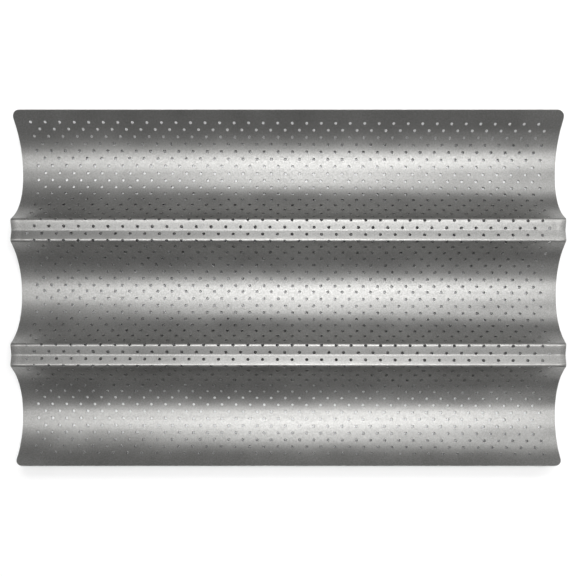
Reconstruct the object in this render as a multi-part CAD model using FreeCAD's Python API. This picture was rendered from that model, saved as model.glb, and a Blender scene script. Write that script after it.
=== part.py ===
"""Baguette tray: one sheet of perforated steel pressed into three troughs and two ridges.

The sheet is described as a section in the YZ plane, walked from the front edge to the back edge,
and run along X. "Blank" distances are measured across the flat sheet before it is pressed, from
its front edge. The sheet has no joints, so its zones are the nodes: each one ends between two
rows of holes, next to a bend, and meets its neighbour face to face. The tray stands on the floors
of its outer troughs, and the middle trough is a little shallower.
"""

import FreeCAD
import Part
import math
import os
from FreeCAD import Placement, Rotation, Vector

# Driving dimensions, in millimetres and degrees. Radii are of the upper side of the sheet.
LENGTH = 380.0
SHEET = 0.6
TROUGH_PITCH = 85.5
TROUGH_DEPTH = 21.4
MIDDLE_LIFT = 1.8
FLOOR_FLAT = 3.0
CREST_GAP = 13.0
CREST_RADIUS = 2.2
VALLEY_DEPTH = 1.4
VALLEY_RADIUS = 3.0
FLANK_RADIUS = 42.0
FLANK_ANGLE = 45.0
FRONT_FLANK = 3.65
BACK_FLANK = 11.8
CORNER_RADIUS = 6.0
RIM_WIDTH = 6.0

# The holes are punched in the flat blank, in two sets of rows that meet near its middle.
HOLE_DIAMETER = 2.0
HOLE_PITCH = 10.08
HOLES_PER_ROW = 36
ROW_STEP = 5.05
ROWS_EACH_HALF = 27
HALVES_GAP = 4.1
PATTERN_SHIFT = 0.43
ROW_SKEW = 0.26


def wall_angle_and_radius(depth):
    """Angle of a trough's wall at the crest, and the trough's radius, from its depth and width."""
    half_width = (TROUGH_PITCH - CREST_GAP - FLOOR_FLAT) / 2.0
    angle = 2.0 * math.atan2(depth, half_width)
    return angle, half_width / math.sin(angle) - CREST_RADIUS


def valley_slope_and_face():
    """Slope of the two faces between a ridge's crests, and the length of each face."""
    half_gap = CREST_GAP / 2.0
    bends = CREST_RADIUS + VALLEY_RADIUS
    reach = math.hypot(half_gap, bends - VALLEY_DEPTH)
    slope = math.atan2(half_gap, bends - VALLEY_DEPTH) - math.acos(bends / reach)
    face = half_gap * math.cos(slope) - (bends - VALLEY_DEPTH) * math.sin(slope)
    return slope, face


def section_steps():
    """The section from the front edge to the back edge: ("line", length) for a straight run, and
    ("arc", radius, turn) for a bend, where a positive turn curves upwards."""
    slope, face = valley_slope_and_face()
    outer_wall, outer_radius = wall_angle_and_radius(TROUGH_DEPTH)
    middle_wall, middle_radius = wall_angle_and_radius(TROUGH_DEPTH - MIDDLE_LIFT)
    outer_crest = ("arc", CREST_RADIUS, -(outer_wall + slope))
    middle_crest = ("arc", CREST_RADIUS, -(middle_wall + slope))
    groove = [("line", face), ("arc", VALLEY_RADIUS, 2.0 * slope), ("line", face)]
    flank = ("arc", FLANK_RADIUS, math.radians(FLANK_ANGLE))
    outer_side = ("arc", outer_radius, outer_wall)
    middle_side = ("arc", middle_radius, middle_wall)
    floor = ("line", FLOOR_FLAT)
    front_trough = [("line", FRONT_FLANK), flank, floor, outer_side]
    front_ridge = [outer_crest] + groove + [middle_crest]
    middle_trough = [middle_side, floor, middle_side]
    back_ridge = [middle_crest] + groove + [outer_crest]
    back_trough = [outer_side, floor, flank, ("line", BACK_FLANK)]
    return front_trough + front_ridge + middle_trough + back_ridge + back_trough


class Run:
    """A straight run or a bend of the section, with its start and its length across the blank."""

    def __init__(self, step, start, heading, blank_start):
        self.start = start
        self.heading = heading
        self.blank_start = blank_start
        if step[0] == "line":
            self.radius = 0.0
            self.turn = 0.0
            self.blank_length = step[1]
        else:
            self.radius = math.copysign(step[1], step[2])
            self.turn = step[2]
            self.blank_length = abs((self.radius + SHEET / 2.0) * self.turn)
        self.blank_end = blank_start + self.blank_length

    def at(self, blank):
        """Point (y, z) on the sheet's upper side and heading, at a place on the blank."""
        along = blank - self.blank_start
        heading = self.heading + self.turn * along / self.blank_length
        if self.turn == 0.0:
            dy = along * math.cos(heading)
            dz = along * math.sin(heading)
        else:
            dy = self.radius * (math.sin(heading) - math.sin(self.heading))
            dz = self.radius * (math.cos(self.heading) - math.cos(heading))
        return (self.start[0] + dy, self.start[1] + dz), heading


def lay_runs(start):
    """Every run of the section in order, from the front edge at start."""
    runs = []
    point = start
    heading = -math.radians(FLANK_ANGLE)
    blank = 0.0
    for step in section_steps():
        run = Run(step, point, heading, blank)
        runs.append(run)
        blank = run.blank_end
        point, heading = run.at(blank)
    return runs


def above(point, heading):
    """The sheet's upper side, along which the section is drawn."""
    return point


def below(point, heading):
    """The place on the sheet's lower side under a point on its upper side."""
    return point[0] + SHEET * math.sin(heading), point[1] - SHEET * math.cos(heading)


def centred_runs():
    """The runs, placed so that the section's box is centred on Y = 0 and stands on Z = 0."""
    runs = lay_runs((0.0, 0.0))
    front = below(*runs[0].at(runs[0].blank_start))
    back = below(*runs[-1].at(runs[-1].blank_end))
    floor = min(below(*run.at(run.blank_end))[1] for run in runs)
    return lay_runs((-(front[0] + back[0]) / 2.0, -floor))


RUNS = centred_runs()
BLANK_WIDTH = RUNS[-1].blank_end


def section_at(blank):
    """Point on the upper side and heading, at a place on the blank."""
    for run in RUNS:
        if blank <= run.blank_end:
            return run.at(blank)
    return RUNS[-1].at(BLANK_WIDTH)


def row_places():
    """Each row's place on the blank, at the middle of its length."""
    middle = BLANK_WIDTH / 2.0 + PATTERN_SHIFT
    half = [HALVES_GAP / 2.0 + k * ROW_STEP for k in range(ROWS_EACH_HALF)]
    return [middle - d for d in reversed(half)] + [middle + d for d in half]


def row_gaps():
    """The middle of each gap between two rows."""
    rows = row_places()
    return [(a + b) / 2.0 for a, b in zip(rows, rows[1:])]


def hole_places():
    """(x, place on the blank) of every hole. Alternate rows lie half a pitch along."""
    skew = math.tan(math.radians(ROW_SKEW))
    first = -HOLE_PITCH * (HOLES_PER_ROW - 1) / 2.0
    places = []
    for number, row in enumerate(row_places()):
        shift = HOLE_PITCH / 4.0 * (-1) ** number
        for k in range(HOLES_PER_ROW):
            x = first + k * HOLE_PITCH + shift
            places.append((x, row - x * skew))
    return places


def section_vector(point):
    """A point of the section, at the sheet's left end."""
    return Vector(-LENGTH / 2.0, point[0], point[1])


def side_edge(run, first, last, side):
    """The edge of one side of the sheet over part of a run, between two places on the blank."""
    blanks = (first, (first + last) / 2.0, last)
    a, middle, b = [section_vector(side(*run.at(blank))) for blank in blanks]
    if run.turn == 0.0:
        return Part.LineSegment(a, b).toShape()
    return Part.Arc(a, middle, b).toShape()


def end_edge(blank):
    """The cut edge of the sheet at a place on the blank."""
    point, heading = section_at(blank)
    return Part.LineSegment(section_vector(point), section_vector(below(point, heading))).toShape()


def plain_sheet(first, last):
    """The sheet with no holes, between two places on the blank."""
    edges = [end_edge(first), end_edge(last)]
    for run in RUNS:
        low = max(first, run.blank_start)
        high = min(last, run.blank_end)
        if low < high:
            edges.append(side_edge(run, low, high, above))
            edges.append(side_edge(run, low, high, below))
    outline = Part.Wire(Part.__sortEdges__(edges))
    return Part.Face(outline).extrude(Vector(LENGTH, 0, 0))


def set_on_sheet(tool, x, blank):
    """A copy of a tool, its origin on the sheet's upper side and its Z along the sheet's normal."""
    point, heading = section_at(blank)
    placed = tool.copy()
    tilt = Rotation(Vector(1, 0, 0), math.degrees(heading))
    placed.Placement = Placement(Vector(x, point[0], point[1]), tilt)
    return placed


def hole_tool():
    """A punch that reaches one sheet thickness past both sides of the sheet."""
    return Part.makeCylinder(HOLE_DIAMETER / 2.0, 3.0 * SHEET, Vector(0, 0, -2.0 * SHEET))


def corner_tool(end, side):
    """What rounding takes off a corner, about that corner. end and side, +1 or -1, are the ways
    that the corner points along X and across the blank."""
    reach = 2.0 * SHEET
    low = Vector(min(0.0, -end * CORNER_RADIUS), min(0.0, -side * CORNER_RADIUS), -reach)
    square = Part.makeBox(CORNER_RADIUS, CORNER_RADIUS, 2.0 * reach, low)
    centre = Vector(-end * CORNER_RADIUS, -side * CORNER_RADIUS, -reach)
    return square.cut(Part.makeCylinder(CORNER_RADIUS, 2.0 * reach, centre))


def perforated(sheet, first, last):
    """The sheet less the holes whose centres lie between two places on the blank."""
    punch = hole_tool()
    holes = [place for place in hole_places() if first < place[1] < last]
    if not holes:
        return sheet
    return sheet.cut([set_on_sheet(punch, x, blank) for x, blank in holes])


def with_round_corners(sheet, blank, side):
    """The sheet with both corners rounded at the long edge that lies at a place on the blank."""
    for end in (-1, 1):
        corner = set_on_sheet(corner_tool(end, side), end * LENGTH / 2.0, blank)
        sheet = sheet.cut(corner)
    return sheet


def ridges():
    """Where each ridge starts and ends on the blank, from its first crest to its second."""
    crests = [run for run in RUNS if run.turn < 0.0]
    return [(first.blank_start, second.blank_end) for first, second in (crests[:2], crests[2:])]


def zones():
    """Each zone's name and its two ends on the blank. A ridge's zone takes in both its crests."""
    ends = [0.0, RIM_WIDTH]
    for start, end in ridges():
        ends.append(max(gap for gap in row_gaps() if gap < start))
        ends.append(min(gap for gap in row_gaps() if gap > end))
    ends += [BLANK_WIDTH - RIM_WIDTH, BLANK_WIDTH]
    names = ["front_rim", "front_trough", "front_ridge", "middle_trough",
             "back_ridge", "back_trough", "back_rim"]
    return list(zip(names, ends, ends[1:]))


def main():
    os.makedirs("parts", exist_ok=True)
    for name, first, last in zones():
        zone = perforated(plain_sheet(first, last), first, last)
        if name == "front_rim":
            zone = with_round_corners(zone, 0.0, -1)
        if name == "back_rim":
            zone = with_round_corners(zone, BLANK_WIDTH, 1)
        zone.exportStep("parts/" + name + ".step")


if __name__ == "__main__":
    main()
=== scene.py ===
"""The looks of the baguette tray: one sheet of perforated steel with a grey non-stick coating.

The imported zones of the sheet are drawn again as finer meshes. Each is laid out on the flat blank,
with x along the tray and s across the sheet, its holes punched there, and is then bent to the
tray's section, so that the surface runs on smoothly from zone to zone. All lengths are in metres.
"""

import math

import bpy
import numpy as np
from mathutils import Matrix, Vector


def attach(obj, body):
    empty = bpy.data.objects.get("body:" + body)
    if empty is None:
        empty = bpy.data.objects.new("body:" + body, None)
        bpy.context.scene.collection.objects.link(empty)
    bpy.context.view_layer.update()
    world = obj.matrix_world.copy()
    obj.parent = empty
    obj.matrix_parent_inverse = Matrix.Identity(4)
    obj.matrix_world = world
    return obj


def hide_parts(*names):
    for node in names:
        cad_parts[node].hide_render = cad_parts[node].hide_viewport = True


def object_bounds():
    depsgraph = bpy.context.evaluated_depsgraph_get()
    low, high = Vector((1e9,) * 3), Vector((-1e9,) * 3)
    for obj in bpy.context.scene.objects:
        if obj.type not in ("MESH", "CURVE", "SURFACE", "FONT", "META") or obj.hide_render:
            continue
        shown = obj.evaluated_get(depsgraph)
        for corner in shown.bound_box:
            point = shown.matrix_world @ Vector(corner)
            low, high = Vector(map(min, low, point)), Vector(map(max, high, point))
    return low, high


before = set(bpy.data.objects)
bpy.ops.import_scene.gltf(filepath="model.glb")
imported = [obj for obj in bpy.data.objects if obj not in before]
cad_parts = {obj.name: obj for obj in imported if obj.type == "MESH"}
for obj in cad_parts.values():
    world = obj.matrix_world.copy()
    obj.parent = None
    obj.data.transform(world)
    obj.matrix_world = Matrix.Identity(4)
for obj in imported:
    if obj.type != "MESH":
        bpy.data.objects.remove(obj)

CAD_LOW, CAD_HIGH = [Vector(corner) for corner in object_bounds()]
MIDDLE = (CAD_LOW + CAD_HIGH) / 2.0
BODY = "root"

# The section's driving dimensions. Radii are of the upper side of the sheet.
LENGTH = CAD_HIGH.x - CAD_LOW.x
SHEET = 0.0006
TROUGH_PITCH = 0.0855
TROUGH_DEPTH = 0.0214
MIDDLE_LIFT = 0.0018
FLOOR_FLAT = 0.003
CREST_GAP = 0.013
CREST_RADIUS = 0.0022
VALLEY_DEPTH = 0.0014
VALLEY_RADIUS = 0.003
FLANK_RADIUS = 0.042
FLANK_ANGLE = math.radians(45.0)
FRONT_FLANK = 0.00365
BACK_FLANK = 0.0118
CORNER_RADIUS = 0.006
RIM_WIDTH = 0.006

# The holes, punched in the blank before it is pressed.
HOLE_RADIUS = 0.001
HOLE_PITCH = 0.01008
HOLES_PER_ROW = 36
ROW_STEP = 0.00505
ROWS_EACH_HALF = 27
HALVES_GAP = 0.0041
PATTERN_SHIFT = 0.00043
ROW_SKEW = math.tan(math.radians(0.26))

# The coating. Its metal flakes make a speckle and drifting clouds: the size of each, and how much
# it moves the tone and the roughness. A finer grain is only in the relief. Blender's noise mostly
# keeps to its middle levels.
COATING_DARK = (0.205, 0.2035, 0.198, 1.0)
COATING_LIGHT = (0.315, 0.3135, 0.306, 1.0)
METALLIC = 0.85
ROUGHNESS = 0.42
SPECKLE = 0.0009
SPECKLE_TONE = 0.5
SPECKLE_SHINE = 0.03
CLOUD = 0.03
CLOUD_TONE = 0.3
CLOUD_SHINE = 0.025
GRAIN = 0.0005
GRAIN_HEIGHT = 0.00002
GRAIN_STRENGTH = 0.35
NOISE_LEVELS = (0.3, 0.7)

# The worn coating, through which a share of bare steel shows. Nicks in the cut edges grow as their
# noise rises between two levels. The crests are rubbed in streaks along X, which start at one depth
# below their tops and are at their strongest above another: rubbed wear, and partly a painted
# highlight that lightens the crests' tops where their highlight lines lie.
# This light colour, where it is mixed onto the crests' tops, is partly a painted highlight.
BARE_STEEL_AND_SHEEN = (0.6, 0.59, 0.57, 1.0)
BARE_SHINE = 0.1
NICK = 0.003
NICK_LEVELS = (0.52, 0.72)
NICK_BARE = 0.7
CREST_RUB_AND_SHEEN = 0.0006
CREST_RUB_AND_SHEEN_FULL = 0.00012
RUB_AND_SHEEN_STREAK = 0.0005
RUB_AND_SHEEN_STRETCH = (0.06, 1.0, 1.0)
RUB_AND_SHEEN_SHARE = 0.25

# The studio: each softbox's name, its place from the tray's middle, its width and its power in
# watts. The surround is the strength of white light from everywhere.
SOFTBOX_HEIGHT = 1.3
SOFTBOXES = [
    ("left_softbox", (-0.5, -0.05), 0.6, 4.6),
    ("middle_softbox", (0.0, 0.0), 0.6, 6.5),
    ("right_softbox", (0.45, -0.1), 0.6, 6.3),
    ("back_softbox", (0.0, 0.75), 0.6, 5.5),
    ("far_softbox", (0.9, 1.1), 0.9, 7.5),
    ("front_softbox", (0.9, -1.5), 0.9, 2.0),
]
SURROUND = 0.14

# The floor lies a hair below the tray, because the photographed one isn't quite flat on it.
FLOOR_SIZE = 8.0
FLOOR_GAP = 0.0008
FLOOR_COLOUR = (0.9, 0.9, 0.9, 1.0)
FLOOR_ROUGHNESS = 0.9

# The camera's place from the tray's middle, its height above the tray's top, and its optics.
CAMERA_PLACE = (0.010, -0.051)
CAMERA_HEIGHT = 0.4644
CAMERA_SENSOR = 36.0
CAMERA_LENS = 42.5
CAMERA_SHIFT = (-0.026, 0.13)

# A ridge's ends: a slight hollow along its top, then a lip that is turned down.
LIP_LENGTH = 0.0043
LIP_DROP = 0.0003
HOLLOW_LENGTH = 0.0055
HOLLOW_DROP = 0.00005
LIP_FADE = 0.004

# The drawn mesh. A block is half a hole pitch long and one row wide, and every other one has a
# hole. The steps across a row and the rings round a hole are finer on the ridges' small bends.
EDGE_ROUND = 0.00012
BLOCK_COLUMNS = 4
COLUMN = HOLE_PITCH / (2 * BLOCK_COLUMNS)
BLOCKS_EACH_SIDE = 37
END_COLUMNS = 5
CORNER_STEPS = 10
RIDGE_STEPS = 14
RIDGE_RINGS = 4
TROUGH_STEPS = 4
TROUGH_RINGS = 1
SECTION_SAMPLES = 4001


def wall(depth):
    """A trough's side: its radius and its turn, from the trough's depth."""
    half_width = (TROUGH_PITCH - CREST_GAP - FLOOR_FLAT) / 2.0
    turn = 2.0 * math.atan2(depth, half_width)
    return half_width / math.sin(turn) - CREST_RADIUS, turn


def section_steps():
    """The section from the front edge to the back edge: (length, 0) for a straight run, and
    (radius, turn) for a bend, where a positive turn curves upwards."""
    half_gap = CREST_GAP / 2.0
    rise = CREST_RADIUS + VALLEY_RADIUS - VALLEY_DEPTH
    reach = math.hypot(half_gap, rise)
    slope = math.atan2(half_gap, rise) - math.acos((rise + VALLEY_DEPTH) / reach)
    face = (half_gap * math.cos(slope) - rise * math.sin(slope), 0.0)
    outer_side = wall(TROUGH_DEPTH)
    middle_side = wall(TROUGH_DEPTH - MIDDLE_LIFT)
    outer_crest = (CREST_RADIUS, -(outer_side[1] + slope))
    middle_crest = (CREST_RADIUS, -(middle_side[1] + slope))
    groove = [face, (VALLEY_RADIUS, 2.0 * slope), face]
    flank = (FLANK_RADIUS, FLANK_ANGLE)
    floor = (FLOOR_FLAT, 0.0)
    front = [(FRONT_FLANK, 0.0), flank, floor, outer_side, outer_crest] + groove + [middle_crest]
    back = [middle_crest] + groove + [outer_crest, outer_side, floor, flank, (BACK_FLANK, 0.0)]
    return front + [middle_side, floor, middle_side] + back


class Section:
    """The bent section, read at places on the blank."""

    def __init__(self):
        rows = []
        y, z, heading, blank = 0.0, 0.0, -FLANK_ANGLE, 0.0
        for size, turn in section_steps():
            radius = math.copysign(size, turn) if turn else 0.0
            length = abs((radius + SHEET / 2.0) * turn) if turn else size
            rows.append((blank, length, y, z, heading, radius, turn))
            if turn:
                y += radius * (math.sin(heading + turn) - math.sin(heading))
                z += radius * (math.cos(heading) - math.cos(heading + turn))
            else:
                y += length * math.cos(heading)
                z += length * math.sin(heading)
            heading += turn
            blank += length
        self.rows = np.array(rows)
        self.width = blank
        self.place = (0.0, 0.0)
        spots = np.linspace(0.0, self.width, SECTION_SAMPLES)
        low_y, low_z, _ = self.at(spots, SHEET)
        self.place = (CAD_LOW.y - low_y.min(), CAD_LOW.z - low_z.min())

    def at(self, blank, depth):
        """y, z and heading at places on the blank, at a depth below the upper side."""
        number = np.searchsorted(self.rows[:, 0], blank, side="right") - 1
        run = self.rows[np.clip(number, 0, len(self.rows) - 1)]
        start, length, y, z, first, radius, turn = np.moveaxis(run, -1, 0)
        along = blank - start
        heading = first + turn * along / length
        straight = turn == 0.0
        y = y + np.where(straight, along * np.cos(first), radius * (np.sin(heading) - np.sin(first)))
        z = z + np.where(straight, along * np.sin(first), radius * (np.cos(first) - np.cos(heading)))
        y = y + depth * np.sin(heading) + self.place[0]
        z = z - depth * np.cos(heading) + self.place[1]
        return y, z, heading


SECTION = Section()


def ridges():
    """Where each ridge starts and ends on the blank, from its first crest to its second."""
    turns = SECTION.rows[:, -1]
    crests = SECTION.rows[turns < 0.0]
    return [(crests[k, 0], crests[k + 1, 0] + crests[k + 1, 1]) for k in (0, 2)]


def row_places():
    """Each row's place on the blank at mid-length."""
    middle = SECTION.width / 2.0 + PATTERN_SHIFT
    half = HALVES_GAP / 2.0 + ROW_STEP * np.arange(ROWS_EACH_HALF)
    return np.concatenate([middle - half[::-1], middle + half])


ROWS = row_places()
GAPS = (ROWS[:-1] + ROWS[1:]) / 2.0


def zones():
    """Each node's two ends on the blank, as the part has them."""
    ends = [0.0, RIM_WIDTH]
    for start, end in ridges():
        ends += [GAPS[GAPS < start].max(), GAPS[GAPS > end].min()]
    ends += [SECTION.width - RIM_WIDTH, SECTION.width]
    names = ["front_rim", "front_trough", "front_ridge", "middle_trough",
             "back_ridge", "back_trough", "back_rim"]
    return {name: ends[k:k + 2] for k, name in enumerate(names)}


def edge_profile():
    """A cut edge from the upper side to the lower one, less its two ends on the flat: how far out
    and how deep each point lies, and how far its normal leans out and up."""
    lean = math.sqrt(0.5)
    out = EDGE_ROUND * lean
    depth = EDGE_ROUND * (1.0 - lean)
    return [(out, depth, lean, lean), (EDGE_ROUND, EDGE_ROUND, 1.0, 0.0),
            (EDGE_ROUND, SHEET - EDGE_ROUND, 1.0, 0.0), (out, SHEET - depth, lean, -lean)]


class Blank:
    """A mesh laid out flat. A point has x, s, its depth below the upper side, its normal along x,
    along s and upwards, and the wear of its coating. Numbers of points are kept in arrays."""

    def __init__(self):
        self.points = []
        self.quads = []
        self.caps = []
        self.count = 0

    def add(self, x, s, depth, normal, wear=0.0):
        """Adds an array of points and returns their numbers, in the same shape."""
        fields = np.broadcast_arrays(x, s, depth, *normal, wear)
        self.points.append(np.stack([field.ravel() for field in fields], axis=1))
        numbers = self.count + np.arange(fields[0].size).reshape(fields[0].shape)
        self.count += fields[0].size
        return numbers

    def face(self, a, b, c, d):
        self.quads.append(np.stack([a, b, c, d], axis=-1).reshape(-1, 4))

    def band(self, outer, inner, closed=False):
        """Quads between two lines of points, each turning left round the outer line's inside."""
        if closed:
            self.face(outer, np.roll(outer, -1, -1), np.roll(inner, -1, -1), inner)
        else:
            self.face(outer[..., :-1], outer[..., 1:], inner[..., 1:], inner[..., :-1])

    def lattice(self, x, s):
        """The same lattice of points on both sides of the sheet."""
        return self.add(x, s, 0.0, (0.0, 0.0, 1.0)), self.add(x, s, SHEET, (0.0, 0.0, -1.0))

    def fill(self, top, bottom, wanted):
        """Faces for the wanted cells of a lattice, on both sides."""
        for grid, turned in ((top, False), (bottom, True)):
            corners = [grid[:-1, :-1], grid[1:, :-1], grid[1:, 1:], grid[:-1, 1:]]
            picked = [corner[wanted] for corner in corners]
            self.face(*(reversed(picked) if turned else picked))

    def cut_edge(self, top, bottom, out_x, out_s):
        """Closes a run of the outline, which turns left round the sheet, with a rounded edge. Each
        of its ends lies on a seam and gets a small cap."""
        x, s = [np.concatenate(self.points)[top, k] for k in (0, 1)]
        lines = [top]
        for out, depth, lean, up in edge_profile():
            normal = (lean * out_x, lean * out_s, up)
            lines.append(self.add(x + out * out_x, s + out * out_s, depth, normal, 1.0))
        lines.append(bottom)
        for upper, lower in zip(lines, lines[1:]):
            self.band(lower, upper)
        self.caps.append([int(line[-1]) for line in lines])
        self.caps.append([int(line[0]) for line in reversed(lines)])

    def seam(self, top, bottom):
        """Closes a run of the outline, which turns left round the sheet, at a seam."""
        self.band(bottom, top)

    def mirrored(self):
        """Turns the layout about, so that its front edge becomes its back edge."""
        for points in self.points:
            points[:, 1] = SECTION.width - points[:, 1]
            points[:, 4] *= -1.0
        self.quads = [quads[:, ::-1] for quads in self.quads]
        self.caps = [cap[::-1] for cap in self.caps]

    def bent(self, name):
        """The finished mesh object, bent to the section."""
        points = np.concatenate(self.points)
        quads = np.concatenate(self.quads)
        used = np.unique(np.concatenate([quads.ravel()] + [np.array(cap) for cap in self.caps]))
        renumber = np.zeros(self.count, int)
        renumber[used] = np.arange(len(used))
        x, s, depth, across, along, up, wear = points[used].T
        y, z, heading = SECTION.at(s, depth)
        drop, slope = end_lip(x, s)
        up_z = np.cos(heading) * up + np.sin(heading) * along
        normals = np.stack([
            across + slope * up_z,
            along * np.cos(heading) - up * np.sin(heading),
            up_z,
        ], axis=1)
        faces = renumber[quads].tolist() + [renumber[cap].tolist() for cap in self.caps]
        mesh = bpy.data.meshes.new(name)
        mesh.from_pydata(np.stack([x + MIDDLE.x, y, z - drop], axis=1).tolist(), [], faces)
        mesh.shade_smooth()
        mesh.normals_split_custom_set_from_vertices(
            (normals / np.linalg.norm(normals, axis=1, keepdims=True)).tolist())
        mesh.attributes.new("wear", "FLOAT", "POINT").data.foreach_set("value", wear)
        piece = bpy.data.objects.new(name, mesh)
        bpy.context.scene.collection.objects.link(piece)
        return piece


def end_lip(x, s):
    """How far a ridge drops near its ends, and the slope of that along x."""
    share = np.zeros_like(s)
    for start, end in ridges():
        outside = np.maximum(np.maximum(start - s, s - end), 0.0)
        share += 0.5 + 0.5 * np.cos(np.pi * np.minimum(outside / LIP_FADE, 1.0))
    inward = LENGTH / 2.0 - np.abs(x)
    lip = np.clip(1.0 - inward / LIP_LENGTH, 0.0, 1.0)
    hollow = np.clip((inward - LIP_LENGTH) / HOLLOW_LENGTH, 0.0, 1.0) * 2.0 * np.pi
    drop = LIP_DROP * lip ** 2 + HOLLOW_DROP * (0.5 - 0.5 * np.cos(hollow))
    slope = 2.0 * LIP_DROP * lip / LIP_LENGTH - HOLLOW_DROP * np.pi / HOLLOW_LENGTH * np.sin(hollow)
    return share * drop, share * slope * np.sign(x)


def column_places():
    """Where the lattice's columns lie along x: whole blocks in the middle, then the two ends."""
    whole = COLUMN * BLOCK_COLUMNS * BLOCKS_EACH_SIDE
    middle = np.linspace(-whole, whole, 2 * BLOCK_COLUMNS * BLOCKS_EACH_SIDE + 1)
    end = np.linspace(whole, LENGTH / 2.0 - EDGE_ROUND, END_COLUMNS + 1)[1:]
    return np.concatenate([-end[::-1], middle, end])


def strip_lines(x, first, last, rows, steps):
    """The lattice's lines across the blank. Each row of holes has a strip of its own, with a number
    of steps, between the skewed lines midway to its neighbours or the zone's straight ends."""
    borders = [np.full_like(x, first)]
    borders += [GAPS[number] - x * ROW_SKEW for number in rows[:-1]]
    borders.append(np.full_like(x, last))
    lines = [a + (b - a) * k / steps for a, b in zip(borders, borders[1:]) for k in range(steps)]
    return np.stack(lines + [borders[-1]], axis=1)


def block_outline(steps):
    """The lattice points round a block, from its corner at low x and low s and turning left."""
    across = [(k, 0) for k in range(BLOCK_COLUMNS)] + [(BLOCK_COLUMNS, k) for k in range(steps)]
    back = [(BLOCK_COLUMNS - a, steps - b) for a, b in across]
    return np.array(across + back).T


def side_turns(steps):
    """The direction of each point of a hole's rim that answers one of block_outline's."""
    quarter = math.pi / 2.0
    across = quarter * np.arange(BLOCK_COLUMNS) / BLOCK_COLUMNS
    up = quarter + quarter * np.arange(steps) / steps
    half = np.concatenate([across, up])
    return np.concatenate([half, half + math.pi]) - 1.5 * quarter


def punch(blank, top, bottom, x, s, rows, steps, rings):
    """Punches every hole of these rows into the lattice, and returns the cells that are taken up."""
    wanted = np.ones((top.shape[0] - 1, top.shape[1] - 1), bool)
    blocks, centres = [], []
    for strip, number in enumerate(rows):
        odd = number % 2
        for k in range(HOLES_PER_ROW):
            block = 2 * k + 1 - odd - HOLES_PER_ROW
            column = END_COLUMNS + BLOCK_COLUMNS * (block + BLOCKS_EACH_SIDE)
            wanted[column:column + BLOCK_COLUMNS, strip * steps:(strip + 1) * steps] = False
            centre = (block + 0.5) * BLOCK_COLUMNS * COLUMN
            blocks.append((column, strip * steps))
            centres.append((centre, ROWS[number] - centre * ROW_SKEW))
    di, dj = block_outline(steps)
    i, j = [np.array(blocks)[:, k, None] + d for k, d in ((0, di), (1, dj))]
    cx, cs = np.array(centres).T[:, :, None]
    turn = side_turns(steps)[None, :]
    ux, us = np.cos(turn), np.sin(turn)
    mouth = HOLE_RADIUS + EDGE_ROUND
    rim_x, rim_s = cx + mouth * ux, cs + mouth * us

    def spread(depth, up):
        """The rings between a block's outline and the hole's rim, on one side of the sheet."""
        lines = []
        for ring in range(1, rings + 1):
            share = ring / rings
            lines.append(blank.add(x[i, j] + (rim_x - x[i, j]) * share,
                                   s[i, j] + (rim_s - s[i, j]) * share, depth, (0.0, 0.0, up)))
        return lines

    lines = [top[i, j]] + spread(0.0, 1.0)
    for out, depth, lean, up in edge_profile():
        radius = mouth - out
        normal = (-lean * ux, -lean * us, up)
        lines.append(blank.add(cx + radius * ux, cs + radius * us, depth, normal))
    lines += spread(SHEET, -1.0)[::-1] + [bottom[i, j]]
    for upper, lower in zip(lines, lines[1:]):
        blank.band(upper, lower, closed=True)
    return wanted


def perforated_zone(name, first, last, steps, rings):
    """A zone with rows of holes, cut at both ends of the tray and with a seam at each long side."""
    rows = [number for number, place in enumerate(ROWS) if first < place < last]
    columns = column_places()
    s = strip_lines(columns, first, last, rows, steps)
    x = np.repeat(columns[:, None], s.shape[1], axis=1)
    blank = Blank()
    top, bottom = blank.lattice(x, s)
    wanted = punch(blank, top, bottom, x, s, rows, steps, rings)
    blank.fill(top, bottom, wanted)
    blank.seam(top[:, 0], bottom[:, 0])
    blank.seam(top[::-1, -1], bottom[::-1, -1])
    blank.cut_edge(top[-1], bottom[-1], 1.0, 0.0)
    blank.cut_edge(top[0, ::-1], bottom[0, ::-1], -1.0, 0.0)
    return blank.bent(name)


def rim_zone(name, back):
    """A plain rim with two rounded corners, drawn as the front one and turned about for the back."""
    turn = np.linspace(0.0, math.pi / 2.0, CORNER_STEPS + 1)
    inner = CORNER_RADIUS - EDGE_ROUND
    lines = RIM_WIDTH - inner * np.cos(turn)
    reach = LENGTH / 2.0 - CORNER_RADIUS + inner * np.sin(turn)
    columns = column_places()
    fixed = LENGTH / 2.0 - 2.0 * CORNER_RADIUS
    spare = np.maximum(np.abs(columns) - fixed, 0.0) / (columns[-1] - fixed)
    base = np.clip(columns, -fixed, fixed)
    x = base[:, None] + np.sign(columns)[:, None] * spare[:, None] * (reach - fixed)[None, :]
    s = np.repeat(lines[None, :], len(columns), axis=0)
    blank = Blank()
    top, bottom = blank.lattice(x, s)
    blank.fill(top, bottom, np.ones((len(columns) - 1, CORNER_STEPS), bool))
    blank.seam(top[::-1, -1], bottom[::-1, -1])
    run = [np.concatenate([grid[0, :0:-1], grid[:, 0], grid[-1, 1:]]) for grid in (top, bottom)]
    flat = np.zeros(len(columns) - 2)
    out_x = np.concatenate([-np.sin(turn[::-1]), flat, np.sin(turn)])
    out_s = -np.concatenate([np.cos(turn[::-1]), flat + 1.0, np.cos(turn)])
    blank.cut_edge(run[0], run[1], out_x, out_s)
    if back:
        blank.mirrored()
    return blank.bent(name)


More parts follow.
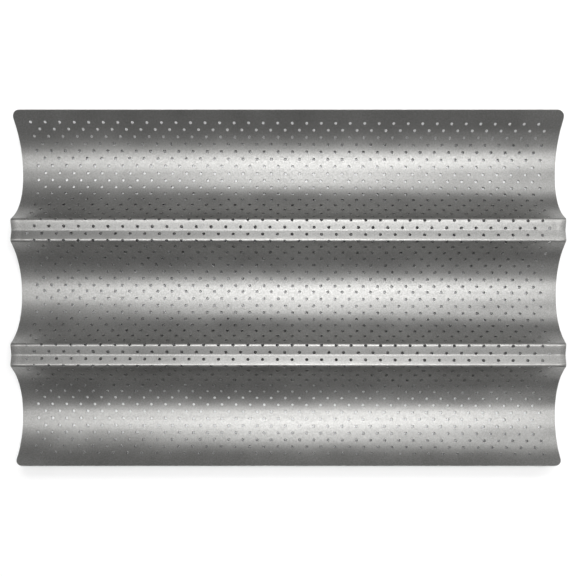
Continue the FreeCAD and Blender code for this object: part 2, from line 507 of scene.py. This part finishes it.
class Nodes:
    """Short calls for laying out a material's nodes."""

    def __init__(self, name):
        self.material = bpy.data.materials.new(name)
        self.material.use_nodes = True
        self.tree = self.material.node_tree
        self.shader = self.tree.nodes["Principled BSDF"]

    def put(self, kind, inputs, **settings):
        """A node with its settings, each input being a plain value or another node's output."""
        node = self.tree.nodes.new(kind)
        for key, value in settings.items():
            setattr(node, key, value)
        for key, value in inputs.items():
            self.link(value, node.inputs[key])
        return node

    def link(self, value, socket):
        if isinstance(value, bpy.types.NodeSocket):
            self.tree.links.new(value, socket)
        else:
            socket.default_value = value

    def noise(self, place, size, detail=2.0, roughness=0.5):
        """Noise from 0 to 1 whose grains measure about size."""
        inputs = {"Vector": place, "Scale": 1.0 / size, "Detail": detail, "Roughness": roughness}
        return self.put("ShaderNodeTexNoise", inputs).outputs["Fac"]

    def scale(self, value, low, high, to_low, to_high):
        """A value taken from one range to another, and held inside it."""
        inputs = {"Value": value, "From Min": low, "From Max": high, "To Min": to_low, "To Max": to_high}
        return self.put("ShaderNodeMapRange", inputs).outputs["Result"]

    def level(self, noise, to_low, to_high):
        """Noise taken from its middle levels to a range."""
        return self.scale(noise, *NOISE_LEVELS, to_low, to_high)

    def math(self, operation, a, b):
        """The result of an operation, such as ADD, on two values."""
        return self.put("ShaderNodeMath", {0: a, 1: b}, operation=operation).outputs[0]

    def mix(self, share, a, b):
        """A blend of two colours."""
        inputs = {"Factor": share, "A": a, "B": b}
        node = self.put("ShaderNodeMix", {}, data_type="RGBA")
        for socket in node.inputs:
            if socket.enabled and socket.name in inputs:
                self.link(inputs[socket.name], socket)
        return next(out for out in node.outputs if out.enabled)


def wear_and_sheen_share(nodes, place):
    """How much bare steel shows: in nicks along the cut edges, and in streaks on the crests, which are
    rubbed wear and partly a painted highlight on the crests' tops.
    """
    edge = nodes.put("ShaderNodeAttribute", {}, attribute_name="wear").outputs["Fac"]
    nicks = nodes.scale(nodes.noise(place, NICK, detail=4.0), *NICK_LEVELS, 0.0, NICK_BARE)
    height = nodes.put("ShaderNodeSeparateXYZ", {"Vector": place}).outputs["Z"]
    top = CAD_HIGH.z
    # Partly painted highlight: the crests' tops are lightened towards bare steel, as well as being
    # rubbed.
    crest_rub_and_sheen = nodes.scale(height, top - CREST_RUB_AND_SHEEN, top - CREST_RUB_AND_SHEEN_FULL, 0.0, 1.0)
    stretch = nodes.put("ShaderNodeVectorMath", {0: place, 1: RUB_AND_SHEEN_STRETCH}, operation="MULTIPLY")
    rub_and_sheen_fibres = nodes.noise(stretch.outputs[0], RUB_AND_SHEEN_STREAK, detail=3.0, roughness=0.7)
    rub_and_sheen_streaks = nodes.level(rub_and_sheen_fibres, 0.0, RUB_AND_SHEEN_SHARE)
    worn_edge = nodes.math("MULTIPLY", edge, nicks)
    return nodes.math("MAXIMUM", worn_edge, nodes.math("MULTIPLY", crest_rub_and_sheen, rub_and_sheen_streaks))


def coated_steel():
    """Steel with a satin grey non-stick coating that is full of fine metal flakes."""
    nodes = Nodes("coated_steel")
    inputs = nodes.shader.inputs
    place = nodes.put("ShaderNodeNewGeometry", {}).outputs["Position"]
    speckle = nodes.noise(place, SPECKLE, detail=1.0)
    cloud = nodes.noise(place, CLOUD, detail=3.0)
    # The share of bare steel also lightens the crests' tops, which is a painted highlight as well as
    # wear.
    wear_and_sheen = wear_and_sheen_share(nodes, place)

    speckle_tone = nodes.level(speckle, -SPECKLE_TONE, SPECKLE_TONE)
    tone = nodes.math("ADD", speckle_tone, nodes.level(cloud, -CLOUD_TONE, CLOUD_TONE))
    most = SPECKLE_TONE + CLOUD_TONE
    coating = nodes.mix(nodes.scale(tone, -most, most, 0.0, 1.0), COATING_DARK, COATING_LIGHT)
    # Bare steel mixed in on the crests' tops is partly a painted highlight.
    nodes.link(nodes.mix(wear_and_sheen, coating, BARE_STEEL_AND_SHEEN), inputs["Base Color"])
    inputs["Metallic"].default_value = METALLIC

    speckle_rough = nodes.level(speckle, ROUGHNESS + SPECKLE_SHINE, ROUGHNESS - SPECKLE_SHINE)
    rough = nodes.math("ADD", speckle_rough, nodes.level(cloud, -CLOUD_SHINE, CLOUD_SHINE))
    smoother = nodes.math("MULTIPLY", wear_and_sheen, BARE_SHINE)
    nodes.link(nodes.math("SUBTRACT", rough, smoother), inputs["Roughness"])

    relief = {"Height": nodes.noise(place, GRAIN), "Strength": GRAIN_STRENGTH, "Distance": GRAIN_HEIGHT}
    nodes.link(nodes.put("ShaderNodeBump", relief).outputs["Normal"], inputs["Normal"])
    return nodes.material


def build_tray():
    material = coated_steel()
    for name, (first, last) in zones().items():
        if name.endswith("rim"):
            piece = rim_zone("sheet_" + name, name == "back_rim")
        elif name.endswith("ridge"):
            piece = perforated_zone("sheet_" + name, first, last, RIDGE_STEPS, RIDGE_RINGS)
        else:
            piece = perforated_zone("sheet_" + name, first, last, TROUGH_STEPS, TROUGH_RINGS)
        piece.data.materials.append(material)
        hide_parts(name)
        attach(piece, BODY)


def build_stage():
    mesh = bpy.data.meshes.new("floor")
    far = FLOOR_SIZE / 2.0
    z = CAD_LOW.z - FLOOR_GAP
    corners = [(-far, -far, z), (far, -far, z), (far, far, z), (-far, far, z)]
    mesh.from_pydata(corners, [], [(0, 1, 2, 3)])
    floor = bpy.data.objects.new("floor", mesh)
    bpy.context.scene.collection.objects.link(floor)
    material = bpy.data.materials.new("floor")
    material.use_nodes = True
    shader = material.node_tree.nodes["Principled BSDF"]
    shader.inputs["Base Color"].default_value = FLOOR_COLOUR
    shader.inputs["Roughness"].default_value = FLOOR_ROUGHNESS
    mesh.materials.append(material)


def build_light():
    """Softboxes overhead, behind and in front, brighter towards the right, in dim white light."""
    for name, (x, y), width, watts in SOFTBOXES:
        lamp = bpy.data.lights.new(name, "AREA")
        lamp.shape = "DISK"
        lamp.size = width
        lamp.energy = watts
        box = bpy.data.objects.new(name, lamp)
        box.location = (MIDDLE.x + x, MIDDLE.y + y, CAD_LOW.z + SOFTBOX_HEIGHT)
        box.visible_camera = False
        bpy.context.scene.collection.objects.link(box)
    world = bpy.data.worlds.new("world")
    world.use_nodes = True
    background = world.node_tree.nodes["Background"]
    background.inputs["Color"].default_value = (1.0, 1.0, 1.0, 1.0)
    background.inputs["Strength"].default_value = SURROUND
    bpy.context.scene.world = world
    bpy.context.scene.view_settings.view_transform = "Standard"


def build_camera():
    """Straight above the tray, a little towards its front, with the sensor shifted to frame it."""
    camera = bpy.data.cameras.new("camera")
    camera.sensor_width = CAMERA_SENSOR
    camera.lens = CAMERA_LENS
    camera.shift_x, camera.shift_y = CAMERA_SHIFT
    stand = bpy.data.objects.new("camera", camera)
    x, y = CAMERA_PLACE
    stand.location = (MIDDLE.x + x, MIDDLE.y + y, CAD_HIGH.z + CAMERA_HEIGHT)
    bpy.context.scene.collection.objects.link(stand)
    bpy.context.scene.camera = stand


build_camera()
build_stage()
build_light()
build_tray()
